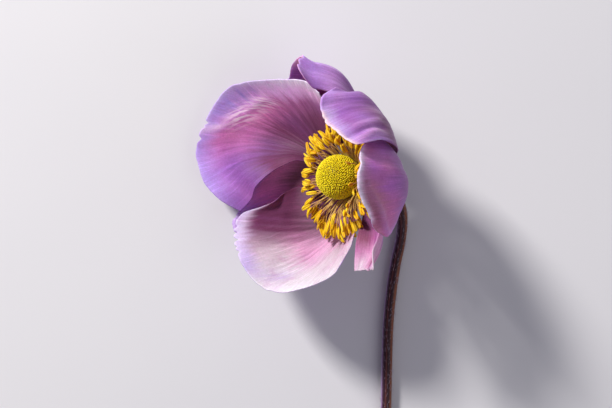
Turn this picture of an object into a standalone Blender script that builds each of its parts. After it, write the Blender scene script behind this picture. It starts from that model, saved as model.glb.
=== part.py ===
"""A cut Japanese anemone bloom on its curved stem, lying on its side on z = 0.

Seven tepals stand round a globe of carpels and a ring of stamens.  The bloom is
modelled in its own frame (X and Y across it, Z along its axis, origin where the
tepals meet the stem) and then tipped over, so that its face looks up and to the
left.  All lengths are metres once they are multiplied by MM.
"""

import math
import random

import bmesh
import bpy
import numpy as np
from mathutils import Matrix, Vector

MM = 0.001

# How the bloom lies
LEAN = 50.0                       # angle of the bloom's axis off straight up, degrees
HEART = (10.8, 5.4, 12.5)         # where the tepals meet, above the resting plane

# Tepals
BLADE = 0.6                       # thickness
CLAW_REACH = 2.1                  # how far from the axis a tepal starts
CLAW_TURN = 20                    # half of the claw's width, degrees round the axis
INNER, MIDDLE, OUTER = 0.6, -0.3, -1.2    # the three heights at which tepals are set

# Stem
STEM_RADIUS = 1.15
RECEPTACLE_RADIUS = 1.55
STEM_TOP = 1.2                    # height of the receptacle's top along the axis
NECK = -1.0                       # height at which the stem leaves the axis
SWELLING = 2.6                    # length over which the receptacle is swollen

# Heart of the bloom; heights are along the axis
# Outline of the saucer under the boss, which carries the stamens: (reach, rise)
SAUCER = ((0, 2.3), (3.0, 2.3), (4.0, 2.75), (4.3, 2.65), (4.2, 2.3), (2.9, 1.5), (0, 1.5))
BOSS_RADIUS = 4.4
BOSS_HEIGHT = 5.7
BOSS_FLOOR = 2.6
CARPELS = 150
CARPEL_BUMP = 0.16                # relief of a carpel
CARPEL_SPREAD = 0.13              # half of the angle between two carpels, radians

STAMENS = 66
FILAMENT_RADIUS = 0.27
# Where the filaments start, bend and end, (reach, rise): outermost row first
ROOT = (3.5, 2.35)
KNEES = ((6.3, 3.7), (5.8, 4.2), (5.4, 4.7))
TIPS = ((9.4, 5.1), (8.3, 6.3), (7.1, 7.4))
LOPSIDED = 1.1                    # how far the ring of stamens hangs to its low side
ANTHER_LENGTH = 2.0
ANTHER_RADIUS = 0.5

# Every tepal has a margin on each side, a midrib and a rim.  Each point is
# (degrees round the axis, reach from the axis, rise along the axis); a margin and
# the midrib run out from the claw, and the rim runs round from the low margin to
# the high one.  A notch is (place along the rim -1..1, depth, width along the rim).
TEPALS = {
    "tepal_left": {
        "turn": 155, "level": INNER, "across": 34,
        "low": ((138, 5, 1.4), (117, 9, 3), (103, 13, 5.4)),
        "mid": ((155, 11, 1.4), (153, 19, 3.5), (151, 25.3, 8.6), (151, 30.4, 17)),
        "high": ((165, 9, 3.1), (165, 14, 4.7), (171, 16.5, 6.6), (177, 18, 8.8),
                 (185, 20, 10.8), (193, 20, 12.5)),
        "rim": ((97, 17, 9), (106, 20.3, 10.3), (126, 24.8, 12), (140, 29.8, 15),
                (151, 30.7, 17), (162, 30.5, 18.8), (170, 29.8, 19.5), (177, 28.3, 19.4),
                (184, 27, 18.6), (191, 24.7, 17), (198, 23, 13.5)),
        "notches": ((0.18, 0.8, 0.03), (0.30, 0.7, 0.03)),
    },
    "tepal_back": {
        "turn": 192, "level": OUTER, "across": 26,
        "low": ((168, 7, -0.3), (161, 12, 1), (165, 17, 3.5)),
        "mid": ((192, 9.8, -1.1), (192, 16.8, 0.5), (192, 22.3, 5.3), (196, 26.5, 12)),
        "high": ((213, 8, 0), (217, 13, 1.2), (216, 18, 4.5)),
        "rim": ((174, 21, 6), (182, 23, 8.5), (190, 24, 10.5), (196, 26.5, 11.5),
                (200, 27, 13), (205, 27, 13), (210, 24.5, 11.5), (213, 21.5, 9.5)),
        "notches": (),
    },
    "tepal_lower": {
        "turn": 245, "level": MIDDLE, "across": 34,
        "low": ((205, 8, 1), (187, 14, 3), (190, 16, 6), (197, 16.5, 9.5)),
        "mid": ((245, 9, 0.5), (244, 15.2, 2.9), (243, 20, 8.7), (240, 24, 18)),
        "high": ((276, 6, 1), (289, 10.5, 4), (291, 12.5, 5.5), (290, 15, 7)),
        "rim": ((200, 18, 12), (201.5, 20.4, 15.6), (210, 22.2, 17.5), (222, 23, 18.3),
                (240, 24, 18), (257, 23.5, 16.5), (270, 22, 14), (282, 20, 11),
                (286, 17.5, 9)),
        "notches": ((-0.64, 0.8, 0.03), (-0.50, 0.9, 0.03), (-0.38, 0.6, 0.03)),
    },
    "tepal_folded": {
        "turn": 310, "level": INNER, "across": 12,
        "low": ((300, 8, 2.6), (300, 12, 5.5), (302, 15, 8), (303, 19, 10.5)),
        "mid": ((310, 9, 1.6), (311, 15, 3.6), (311, 20, 7.5), (309, 23.6, 11.7)),
        "high": ((321, 8, 2.3), (323, 14, 5), (325, 18.7, 8.8), (322, 20.3, 10),
                 (319, 22, 11.5)),
        "rim": ((303, 22, 12), (308, 23, 11.5), (312, 24.3, 12), (315, 25.5, 12.5)),
        "notches": (),
    },
    "tepal_right": {
        "turn": -4, "level": MIDDLE, "across": 28,
        "low": ((-32, 9, 0.5), (-38, 16.2, 3), (-37, 19.3, 6.5)),
        "mid": ((-4, 10, 0), (-4, 16.6, 2.4), (-4, 20.5, 8.9), (-5, 21.5, 19.8)),
        "high": ((26, 8, 1), (27, 14.3, 4.6), (25, 16, 9)),
        "rim": ((-33, 21.1, 10), (-27, 22, 14), (-19, 22, 16.5), (-12, 21.5, 18.5),
                (-2, 21.5, 20), (8, 21, 18.8), (15, 19.5, 16.5), (21, 17.2, 13)),
        "notches": (),
    },
    "tepal_upper": {
        "turn": 46, "level": OUTER, "across": 28,
        "low": ((24, 8, -0.4), (19, 13.5, 1.7), (18, 18, 5.7), (20, 19.8, 10.5),
                (18, 21, 14.5)),
        "mid": ((46, 8.2, -0.7), (47, 14, 1.5), (46, 17.8, 6.4), (43, 18.3, 13),
                (38, 16.3, 20)),
        "high": ((68, 8, 0.3), (69, 12, 1.2), (67, 17.6, 5.2), (66, 18, 9.5)),
        "rim": ((16, 21.5, 18), (16, 21, 19.5), (22, 19, 20), (32, 17, 20),
                (40, 16, 20), (48, 17, 20), (55, 18.6, 19), (64, 19, 14)),
        "notches": (),
    },
    "tepal_top": {
        "turn": 100, "level": MIDDLE, "across": 30,
        "low": ((68, 8, 1.6), (67, 13.4, 4.2), (72, 16.3, 8.5), (78, 17.3, 13), (79, 17.5, 15)),
        "mid": ((99, 10.8, 0.1), (99, 18, 1.3), (98, 22.2, 5.1), (99, 24, 13.4)),
        "high": ((125, 6, -0.1), (139, 13, -0.1), (142, 19, 0.6)),
        "rim": ((82, 19.5, 17), (85, 21, 17.5), (89, 22.5, 16.8), (90, 24, 15),
                (100, 23.7, 13.5), (110, 23.5, 11.5), (119, 23.5, 9.2), (129, 25, 6.8),
                (136, 26, 3.4), (141, 24.2, 1.3)),
        "notches": ((-0.42, 0.8, 0.03),),
    },
}
ALONG = 8                         # divisions of a blade from claw to rim
REACH_OF_RIM = 2.5                # how strongly the rim's shape fades towards the claw

# The stem's centre line from the bloom outwards, in the frame the flower lies in
STEM_ROUTE = (
    (14.6, 5.0, 8.8), (17.6, 3.2, 5.4), (19.4, 0.2, 2.7), (20.1, -3.2, 0.9),
    (19.8, -7.5, 0.1), (18.7, -13, -0.1), (17.7, -20, -0.1), (17.1, -28, -0.1),
    (16.8, -42, -0.1), (16.6, -56, -0.1), (16.6, -70, -0.1),
)
STEM_POINTS = 44


# ---------------------------------------------------------------- helpers

def clear_scene():
    for item in list(bpy.data.objects):
        bpy.data.objects.remove(item, do_unlink=True)


def material(name, colour, roughness):
    """A plain Principled material; colour is linear RGB."""
    made = bpy.data.materials.new(name)
    made.use_nodes = True
    shader = made.node_tree.nodes["Principled BSDF"]
    shader.inputs["Base Color"].default_value = (*colour, 1.0)
    shader.inputs["Roughness"].default_value = roughness
    shader.inputs["Metallic"].default_value = 0.0
    return made


def polar(turn, reach, rise):
    """A point of the bloom's frame, in mm, from its turn, reach and rise."""
    angle = math.radians(turn)
    return (reach * math.cos(angle), reach * math.sin(angle), rise)


def curve_through(points, places):
    """Catmull-Rom curve through the points, read at places between 0 and 1."""
    points = np.asarray(points, float)
    spans = len(points) - 1
    place = np.clip(places, 0, 1) * spans
    span = np.minimum(place.astype(int), spans - 1)
    f = (place - span)[:, None]
    before = 2 * points[0] - points[1]
    after = 2 * points[-1] - points[-2]
    run = np.vstack([before, points, after])
    a, b, c, d = run[span], run[span + 1], run[span + 2], run[span + 3]
    return 0.5 * (2 * b + (c - a) * f + (2 * a - 5 * b + 4 * c - d) * f ** 2
                  + (3 * b - a - 3 * c + d) * f ** 3)


def even_curve(points, steps):
    """steps + 1 points at even distances along the curve through the points."""
    fine = curve_through(points, np.linspace(0, 1, 400))
    lengths = np.linalg.norm(np.diff(fine, axis=0), axis=1)
    run = np.concatenate([[0.0], np.cumsum(lengths)])
    stops = np.linspace(0, run[-1], steps + 1)
    return np.stack([np.interp(stops, run, fine[:, k]) for k in range(3)], axis=1)


def new_object(name, mesh, look, parent, collection):
    made = bpy.data.objects.new(name, mesh)
    mesh.materials.append(look)
    collection.objects.link(made)
    made.parent = parent
    return made


def empty(name, collection, parent=None):
    made = bpy.data.objects.new(name, None)
    collection.objects.link(made)
    made.parent = parent
    return made


# ---------------------------------------------------------------- tepals

def tepal_surface(plan, along, across):
    """The blade's middle surface as a grid of points in mm, claw to rim."""
    claw = [polar(plan["turn"] + side * CLAW_TURN, CLAW_REACH, plan["level"])
            for side in (-1, 0, 1)]
    rim = [polar(*point) for point in plan["rim"]]
    low = [claw[0]] + [polar(*point) for point in plan["low"]] + [rim[0]]
    mid = [claw[1]] + [polar(*point) for point in plan["mid"]]
    high = [claw[2]] + [polar(*point) for point in plan["high"]] + [rim[-1]]
    low, mid, high = (even_curve(line, along)[:, None] for line in (low, mid, high))
    rim = even_curve(rim, across)[None]

    u = np.linspace(0, 1, along + 1)[:, None, None]
    v = np.linspace(-1, 1, across + 1)[None, :, None]
    grid = low * v * (v - 1) / 2 + mid * (1 - v * v) + high * v * (v + 1) / 2
    return grid + u ** REACH_OF_RIM * (rim - grid[-1:])


def cut_notches(grid, notches):
    """Draws the rim in towards the claw at each notch."""
    along, across = grid.shape[0] - 1, grid.shape[1] - 1
    v = np.linspace(-1, 1, across + 1)
    u = np.linspace(0, 1, along + 1)
    length = np.linalg.norm(np.diff(grid, axis=0), axis=2).sum(axis=0)
    depth = np.zeros(across + 1)
    for place, size, width in notches:
        depth += size * np.exp(-((v - place) / width) ** 2)
    cut = grid.copy()
    for column in range(across + 1):
        stops = u * (1 - depth[column] / length[column] * u ** 3)
        cut[:, column] = curve_through(grid[:, column], stops)
    return cut


def sheet(name, grid):
    """An open mesh of triangles over a grid of points in mm."""
    along, across = grid.shape[0] - 1, grid.shape[1] - 1
    mesh = bpy.data.meshes.new(name)
    faces = []
    for i in range(along):
        for j in range(across):
            a = i * (across + 1) + j
            b = a + across + 1
            if (i + j) % 2:
                faces += [(a, b, b + 1), (a, b + 1, a + 1)]
            else:
                faces += [(a, b, a + 1), (b, b + 1, a + 1)]
    mesh.from_pydata([tuple(point * MM) for point in grid.reshape(-1, 3)], [], faces)
    mesh.shade_smooth()
    return mesh


def make_tepal(name, plan, look, parent, collection):
    grid = tepal_surface(plan, ALONG, plan["across"])
    grid = cut_notches(grid, plan["notches"])
    tepal = new_object(name, sheet(name, grid), look, parent, collection)
    thickness = tepal.modifiers.new("blade", "SOLIDIFY")
    thickness.thickness = BLADE * MM
    thickness.offset = 0.0
    return tepal


# ---------------------------------------------------------------- stem

def make_stem(bloom_matrix, look, parent, collection):
    """The stem with its swollen top, the receptacle, as one tube."""
    top = [tuple(bloom_matrix @ Vector((0, 0, height))) for height in (STEM_TOP, NECK)]
    line = even_curve(top + list(STEM_ROUTE), STEM_POINTS - 1)
    curve = bpy.data.curves.new("stem", "CURVE")
    curve.dimensions = "3D"
    curve.bevel_depth = STEM_RADIUS * MM
    curve.bevel_resolution = 2
    curve.use_fill_caps = True
    spline = curve.splines.new("POLY")
    spline.points.add(STEM_POINTS - 1)
    run = np.linalg.norm(line - line[0], axis=1)
    for point, place, distance in zip(spline.points, line, run):
        point.co = (*(place * MM), 1.0)
        swelling = (RECEPTACLE_RADIUS / STEM_RADIUS - 1) * math.exp(-(distance / SWELLING) ** 4)
        point.radius = 1.0 + swelling
    stem = bpy.data.objects.new("stem", curve)
    curve.materials.append(look)
    collection.objects.link(stem)
    stem.parent = parent
    return stem


# ---------------------------------------------------------------- heart

def make_boss(look, parent, collection):
    """The globe of carpels: a ball with rows of low bumps, flat underneath."""
    work = bmesh.new()
    bmesh.ops.create_icosphere(work, subdivisions=4, radius=BOSS_RADIUS * MM)
    golden = math.pi * (3 - math.sqrt(5))
    bumps = []
    for k in range(CARPELS):
        z = 1 - 2 * (k + 0.5) / CARPELS
        ring = math.sqrt(1 - z * z)
        bumps.append((ring * math.cos(k * golden), ring * math.sin(k * golden), z))
    bumps = np.array(bumps)
    for vertex in work.verts:
        direction = np.array(vertex.co.normalized())
        nearest = np.clip(bumps @ direction, -1, 1).max()
        off = min(math.acos(nearest) / CARPEL_SPREAD, 1)
        relief = CARPEL_BUMP * (math.cos(off * math.pi) - 1) / 2
        vertex.co = Vector(direction) * (BOSS_RADIUS + relief) * MM
    bmesh.ops.translate(work, verts=work.verts, vec=(0, 0, BOSS_HEIGHT * MM))
    cut = bmesh.ops.bisect_plane(
        work, geom=work.verts[:] + work.edges[:] + work.faces[:],
        plane_co=(0, 0, BOSS_FLOOR * MM), plane_no=(0, 0, -1), clear_outer=True)
    edges = [item for item in cut["geom_cut"] if isinstance(item, bmesh.types.BMEdge)]
    bmesh.ops.holes_fill(work, edges=edges)
    bmesh.ops.triangulate(work, faces=work.faces)
    bmesh.ops.recalc_face_normals(work, faces=work.faces)
    mesh = bpy.data.meshes.new("boss")
    work.to_mesh(mesh)
    work.free()
    mesh.shade_smooth()
    return new_object("boss", mesh, look, parent, collection)


def stamen_path(number, chance):
    """Centre line of one filament in mm, with the anther's far end last."""
    turn = 360 * (number + chance.uniform(-0.2, 0.2)) / STAMENS
    row = number % len(KNEES)
    reach = TIPS[row][0] - LOPSIDED * math.sin(math.radians(turn)) + chance.uniform(-0.5, 0.5)
    rise = TIPS[row][1] + chance.uniform(-0.5, 0.5)
    root = polar(turn, *ROOT)
    knee = polar(turn, *KNEES[row])
    tip = polar(turn + chance.uniform(-3, 3), reach, rise)
    bend = chance.uniform(0.1, 0.9)
    lead = np.array(tip) - np.array(knee)
    lead = lead / np.linalg.norm(lead) + np.array(polar(turn, 0.35 * bend, -0.35 * bend))
    end = np.array(tip) + ANTHER_LENGTH * lead / np.linalg.norm(lead)
    return [np.array(root), np.array(knee), np.array(tip), end]


def tapered_tube(name, points, radii, sides):
    """A closed tube of triangles through the points, in mm, with its own radii."""
    work = bmesh.new()
    rings = []
    for k, point in enumerate(points):
        lead = points[min(k + 1, len(points) - 1)] - points[max(k - 1, 0)]
        frame = Vector(lead).to_track_quat("Z", "Y").to_matrix()
        ring = []
        for side in range(sides):
            angle = 2 * math.pi * side / sides
            offset = frame @ Vector((math.cos(angle), math.sin(angle), 0)) * radii[k]
            ring.append(work.verts.new((Vector(point) + offset) * MM))
        rings.append(ring)
    for ring, following in zip(rings, rings[1:]):
        for side in range(sides):
            other = (side + 1) % sides
            work.faces.new((ring[side], ring[other], following[other], following[side]))
    work.faces.new(reversed(rings[0]))
    work.faces.new(rings[-1])
    bmesh.ops.triangulate(work, faces=work.faces)
    mesh = bpy.data.meshes.new(name)
    work.to_mesh(mesh)
    work.free()
    return mesh


def turned(name, profile, steps):
    """A solid of revolution about the bloom's axis from a (reach, rise) profile."""
    mesh = bpy.data.meshes.new(name)
    points = [(reach * MM, 0, rise * MM) for reach, rise in profile]
    mesh.from_pydata(points, [(k, k + 1) for k in range(len(points) - 1)], [])
    made = bpy.data.objects.new(name, mesh)
    screw = made.modifiers.new("turn", "SCREW")
    screw.steps = steps
    screw.render_steps = steps
    screw.use_merge_vertices = True
    screw.merge_threshold = 0.01 * MM
    return made


def make_stamens(look, parent, collection):
    """All stamens, fused with the disc that carries them."""
    chance = random.Random(7)
    loose = bpy.data.collections.new("loose stamens")
    bpy.context.scene.collection.children.link(loose)
    for number in range(STAMENS):
        root, knee, tip, end = stamen_path(number, chance)
        points = [root, knee, tip, tip + 0.25 * (end - tip), tip + 0.75 * (end - tip), end]
        radii = [FILAMENT_RADIUS, FILAMENT_RADIUS, FILAMENT_RADIUS,
                 ANTHER_RADIUS, ANTHER_RADIUS, 0.45 * ANTHER_RADIUS]
        mesh = tapered_tube("stamen", points, radii, 3)
        loose.objects.link(bpy.data.objects.new("stamen", mesh))

    disc = turned("disc", SAUCER, 33)
    bpy.context.scene.collection.objects.link(disc)
    fuse = disc.modifiers.new("fuse", "BOOLEAN")
    fuse.operation = "UNION"
    fuse.operand_type = "COLLECTION"
    fuse.collection = loose
    fuse.solver = "EXACT"
    fused = bpy.data.meshes.new_from_object(
        disc.evaluated_get(bpy.context.evaluated_depsgraph_get()))
    fused.transform(disc.matrix_world)
    fused.materials.clear()
    fused.shade_smooth()
    fused.set_sharp_from_angle(angle=math.radians(40))
    bpy.data.objects.remove(disc)
    for item in list(loose.objects):
        bpy.data.objects.remove(item)
    bpy.data.collections.remove(loose)
    return new_object("stamens", fused, look, parent, collection)


# ---------------------------------------------------------------- assembly

def lowest_middle(objects):
    """The middle of the bottom of the box round the objects."""
    scene = bpy.context.evaluated_depsgraph_get()
    corners = []
    for item in objects:
        shape = item.evaluated_get(scene)
        mesh = shape.to_mesh()
        corners += [item.matrix_world @ vertex.co for vertex in mesh.vertices]
        shape.to_mesh_clear()
    low = [min(corner[k] for corner in corners) for k in range(3)]
    high = [max(corner[k] for corner in corners) for k in range(3)]
    return Vector(((low[0] + high[0]) / 2, (low[1] + high[1]) / 2, low[2]))


def main():
    clear_scene()
    flower = bpy.data.collections.new("anemone flower")
    bpy.context.scene.collection.children.link(flower)
    lilac = material("tepal lilac", (0.42, 0.22, 0.50), 0.55)
    gold = material("stamen gold", (0.75, 0.45, 0.03), 0.60)
    lime = material("carpel yellow green", (0.52, 0.50, 0.03), 0.65)
    plum = material("stem plum", (0.09, 0.04, 0.05), 0.60)

    lying = empty("lying flower", flower)
    bloom = empty("bloom", flower, lying)
    bloom.location = Vector(HEART) * MM
    bloom.rotation_euler = (0, -math.radians(LEAN), 0)
    bloom_matrix = Matrix.Translation(HEART) @ Matrix.Rotation(-math.radians(LEAN), 4, "Y")

    parts = [make_stem(bloom_matrix, plum, lying, flower)]
    for name, plan in TEPALS.items():
        parts.append(make_tepal(name, plan, lilac, bloom, flower))
    parts.append(make_boss(lime, bloom, flower))
    parts.append(make_stamens(gold, bloom, flower))
    bpy.context.view_layer.update()
    lying.location = -lowest_middle(parts)
    bpy.context.view_layer.update()


main()
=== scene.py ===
"""Looks of a cut Japanese anemone bloom that lies on a pale table.

The bloom's own frame has X and Y across it and Z along its axis, with its origin
at the heart, where the tepals meet the stem.  Lengths there are millimetres.
"""

import math
import random

import bpy
import numpy as np
from mathutils import Matrix, Vector


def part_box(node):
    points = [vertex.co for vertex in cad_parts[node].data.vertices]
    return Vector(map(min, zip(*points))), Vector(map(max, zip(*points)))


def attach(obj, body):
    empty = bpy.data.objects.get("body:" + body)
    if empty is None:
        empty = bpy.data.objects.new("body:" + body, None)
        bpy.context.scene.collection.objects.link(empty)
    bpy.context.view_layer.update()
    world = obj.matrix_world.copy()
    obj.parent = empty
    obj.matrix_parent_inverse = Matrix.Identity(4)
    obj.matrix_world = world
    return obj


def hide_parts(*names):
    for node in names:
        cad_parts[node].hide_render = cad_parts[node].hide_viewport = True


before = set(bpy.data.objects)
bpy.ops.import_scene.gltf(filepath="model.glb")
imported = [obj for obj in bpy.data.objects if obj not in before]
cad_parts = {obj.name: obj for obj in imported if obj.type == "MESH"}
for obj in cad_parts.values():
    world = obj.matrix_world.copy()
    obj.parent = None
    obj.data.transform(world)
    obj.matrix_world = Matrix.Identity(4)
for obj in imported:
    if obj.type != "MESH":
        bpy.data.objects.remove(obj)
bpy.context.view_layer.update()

MM = 0.001

# How the bloom lies, as in the solids
LEAN = 50.0  # angle of the bloom's axis off straight up, degrees
BOSS_RADIUS = 4.4
BOSS_HEIGHT = 5.7  # of the boss's centre, along the axis
HEART_BEFORE_SHIFT = (10.8, 5.4, 12.5)

boss_low, boss_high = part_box("boss")
boss_half = (boss_high.y - boss_low.y) / 2
boss_centre = Vector((boss_low.x + boss_half, (boss_low.y + boss_high.y) / 2, boss_high.z - boss_half))
TIP_OVER = Matrix.Rotation(-math.radians(LEAN), 4, "Y")
HEART = boss_centre - TIP_OVER @ Vector((0, 0, BOSS_HEIGHT * MM))
BLOOM = Matrix.Translation(HEART) @ TIP_OVER @ Matrix.Scale(MM, 4)
SHIFT = HEART - Vector(HEART_BEFORE_SHIFT) * MM

# Tepals.  Turn and level place the claw; along and across count the grid's steps.
# Margins, midrib and rim are (degrees round the axis, reach, rise); notches are
# (place along the rim -1..1, depth, width), and flute is the height of the slow
# waves across the blade.
CLAW_REACH = 2.1  # distance of the claws from the axis
CLAW_TURN = 20  # half of the angle that a claw takes up
INNER, MIDDLE, OUTER = 0.6, -0.3, -1.2
REACH_OF_RIM = 2.5  # the higher, the nearer the rim its own shape begins
TEPALS = {
    "tepal_left": {
        "turn": 155, "level": INNER, "across": 200, "along": 110,
        "low": ((138, 5, 1.4), (117, 9, 3), (103, 13, 5.4)),
        "mid": ((155, 11, 1.4), (153, 19, 3.5), (151, 25.3, 8.6), (151, 30.4, 17)),
        "high": ((165, 9, 3.1), (165, 14, 4.7), (171, 16.5, 6.6), (177, 18, 8.8),
                 (185, 20, 10.8), (193, 20, 12.5)),
        "rim": ((97, 17, 9), (106, 20.3, 10.3), (126, 24.8, 12), (140, 29.8, 15),
                (151, 30.7, 17), (162, 30.5, 18.8), (170, 29.8, 19.5), (177, 28.3, 19.4),
                (184, 27, 18.6), (191, 24.7, 17), (198, 23, 13.5)),
        "notches": ((0.17, 0.8, 0.014), (0.205, 0.6, 0.012), (0.30, 0.7, 0.02), (-0.25, 0.25, 0.03)),
        "flute": 0.13,
    },
    "tepal_back": {
        "turn": 192, "level": OUTER, "across": 80, "along": 48,
        "low": ((168, 7, -0.3), (161, 12, 1), (165, 17, 3.5)),
        "mid": ((192, 9.8, -1.1), (192, 16.8, 0.5), (192, 22.3, 5.3), (196, 26.5, 12)),
        "high": ((213, 8, 0), (217, 13, 1.2), (216, 18, 4.5)),
        "rim": ((174, 21, 6), (182, 23, 8.5), (190, 24, 10.5), (196, 26.5, 11.5),
                (200, 27, 13), (205, 27, 13), (210, 24.5, 11.5), (213, 21.5, 9.5)),
        "notches": ((0.1, 0.4, 0.03),),
        "flute": 0.12,
    },
    "tepal_lower": {
        "turn": 245, "level": MIDDLE, "across": 160, "along": 84,
        "low": ((205, 8, 1), (187, 14, 3), (190, 16, 6), (197, 16.5, 9.5)),
        "mid": ((245, 9, 0.5), (244, 15.2, 2.9), (243, 20, 8.7), (240, 24, 18)),
        "high": ((276, 6, 1), (289, 10.5, 4), (291, 12.5, 5.5), (290, 15, 7)),
        "rim": ((200, 18, 12), (201.5, 20.4, 15.6), (210, 22.2, 17.5), (222, 23, 18.3),
                (240, 24, 18), (257, 23.5, 16.5), (270, 22, 14), (282, 20, 11),
                (286, 17.5, 9)),
        "notches": ((-0.66, 0.6, 0.02), (-0.60, 0.8, 0.014), (-0.52, 0.9, 0.016),
                    (-0.44, 0.5, 0.012), (-0.38, 0.6, 0.02), (0.2, 0.25, 0.03)),
        "flute": 0.14,
    },
    "tepal_folded": {
        "turn": 310, "level": INNER, "across": 48, "along": 44,
        "low": ((300, 8, 2.6), (300, 12, 5.5), (302, 15, 8), (303, 19, 10.5)),
        "mid": ((310, 9, 1.6), (311, 15, 3.6), (311, 20, 7.5), (309, 23.6, 11.7)),
        "high": ((321, 8, 2.3), (323, 14, 5), (325, 18.7, 8.8), (322, 20.3, 10),
                 (319, 22, 11.5)),
        "rim": ((303, 22, 12), (308, 23, 11.5), (312, 24.3, 12), (315, 25.5, 12.5)),
        "notches": ((0.3, 0.4, 0.15),),
        "flute": 0.08,
    },
    "tepal_right": {
        "turn": -4, "level": MIDDLE, "across": 96, "along": 56,
        "low": ((-32, 9, 0.5), (-38, 16.2, 3), (-37, 19.3, 6.5)),
        "mid": ((-4, 10, 0), (-4, 16.6, 2.4), (-4, 20.5, 8.9), (-5, 21.5, 19.8)),
        "high": ((26, 8, 1), (27, 14.3, 4.6), (25, 16, 9)),
        "rim": ((-33, 21.1, 10), (-27, 22, 14), (-19, 22, 16.5), (-12, 21.5, 18.5),
                (-2, 21.5, 20), (8, 21, 18.8), (15, 19.5, 16.5), (21, 17.2, 13)),
        "notches": ((0.35, 0.25, 0.03), (-0.5, 0.3, 0.03)),
        "flute": 0.12,
    },
    "tepal_upper": {
        "turn": 46, "level": OUTER, "across": 96, "along": 56,
        "low": ((24, 8, -0.4), (19, 13.5, 1.7), (18, 18, 5.7), (20, 19.8, 10.5),
                (18, 21, 14.5)),
        "mid": ((46, 8.2, -0.7), (47, 14, 1.5), (46, 17.8, 6.4), (43, 18.3, 13),
                (38, 16.3, 20)),
        "high": ((68, 8, 0.3), (69, 12, 1.2), (67, 17.6, 5.2), (66, 18, 9.5)),
        "rim": ((16, 21.5, 18), (16, 21, 19.5), (22, 19, 20), (32, 17, 20),
                (40, 16, 20), (48, 17, 20), (55, 18.6, 19), (64, 19, 14)),
        "notches": ((0.0, 0.3, 0.03),),
        "flute": 0.14,
    },
    "tepal_top": {
        "turn": 100, "level": MIDDLE, "across": 110, "along": 60,
        "low": ((68, 8, 1.6), (67, 13.4, 4.2), (72, 16.3, 8.5), (78, 17.3, 13), (79, 17.5, 15)),
        "mid": ((99, 10.8, 0.1), (99, 18, 1.3), (98, 22.2, 5.1), (99, 24, 13.4)),
        "high": ((125, 6, -0.1), (139, 13, -0.1), (142, 19, 0.6)),
        "rim": ((82, 19.5, 17), (85, 21, 17.5), (89, 22.5, 16.8), (90, 24, 15),
                (100, 23.7, 13.5), (110, 23.5, 11.5), (119, 23.5, 9.2), (129, 25, 6.8),
                (136, 26, 3.4), (141, 24.2, 1.3)),
        "notches": ((-0.75, 0.7, 0.02), (-0.66, 0.5, 0.015), (-0.5, 0.6, 0.02)),
        "flute": 0.14,
    },
}
CLAW_THICK = 0.55
RIM_THICK = 0.15
RIM_FRAY = ((0.10, 14), (0.05, 40))  # depth in mm, and waves over half of the rim
RIB_HEIGHT, RIB_WAVES = 0.03, 30  # fine ribs along the blade

# Paint, sRGB 0-255
PALETTE = {
    "plum": (84, 36, 66), "garnet": (108, 52, 88), "dusk": (120, 66, 112),
    "umber": (142, 86, 112), "berry": (164, 92, 144), "mauve": (142, 86, 142),
    "purple": (146, 88, 158), "magenta": (184, 106, 164), "grape": (158, 104, 184),
    "heather": (174, 130, 194), "violet": (158, 118, 204), "bluet": (162, 140, 212),
    "orchid": (188, 138, 204), "lilac": (188, 164, 220), "ice": (208, 190, 230),
    "pink": (218, 128, 182), "blush": (236, 176, 216), "rose": (200, 148, 182),
    "pearl": (196, 176, 190), "cream": (204, 196, 204), "frost": (240, 224, 246),
    "amethyst": (132, 80, 152), "iris": (180, 108, 190), "clay": (180, 116, 140),
    "mallow": (250, 192, 250), "shell": (255, 216, 240), "peach": (250, 208, 194),
    "wisteria": (196, 150, 230),
}
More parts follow.
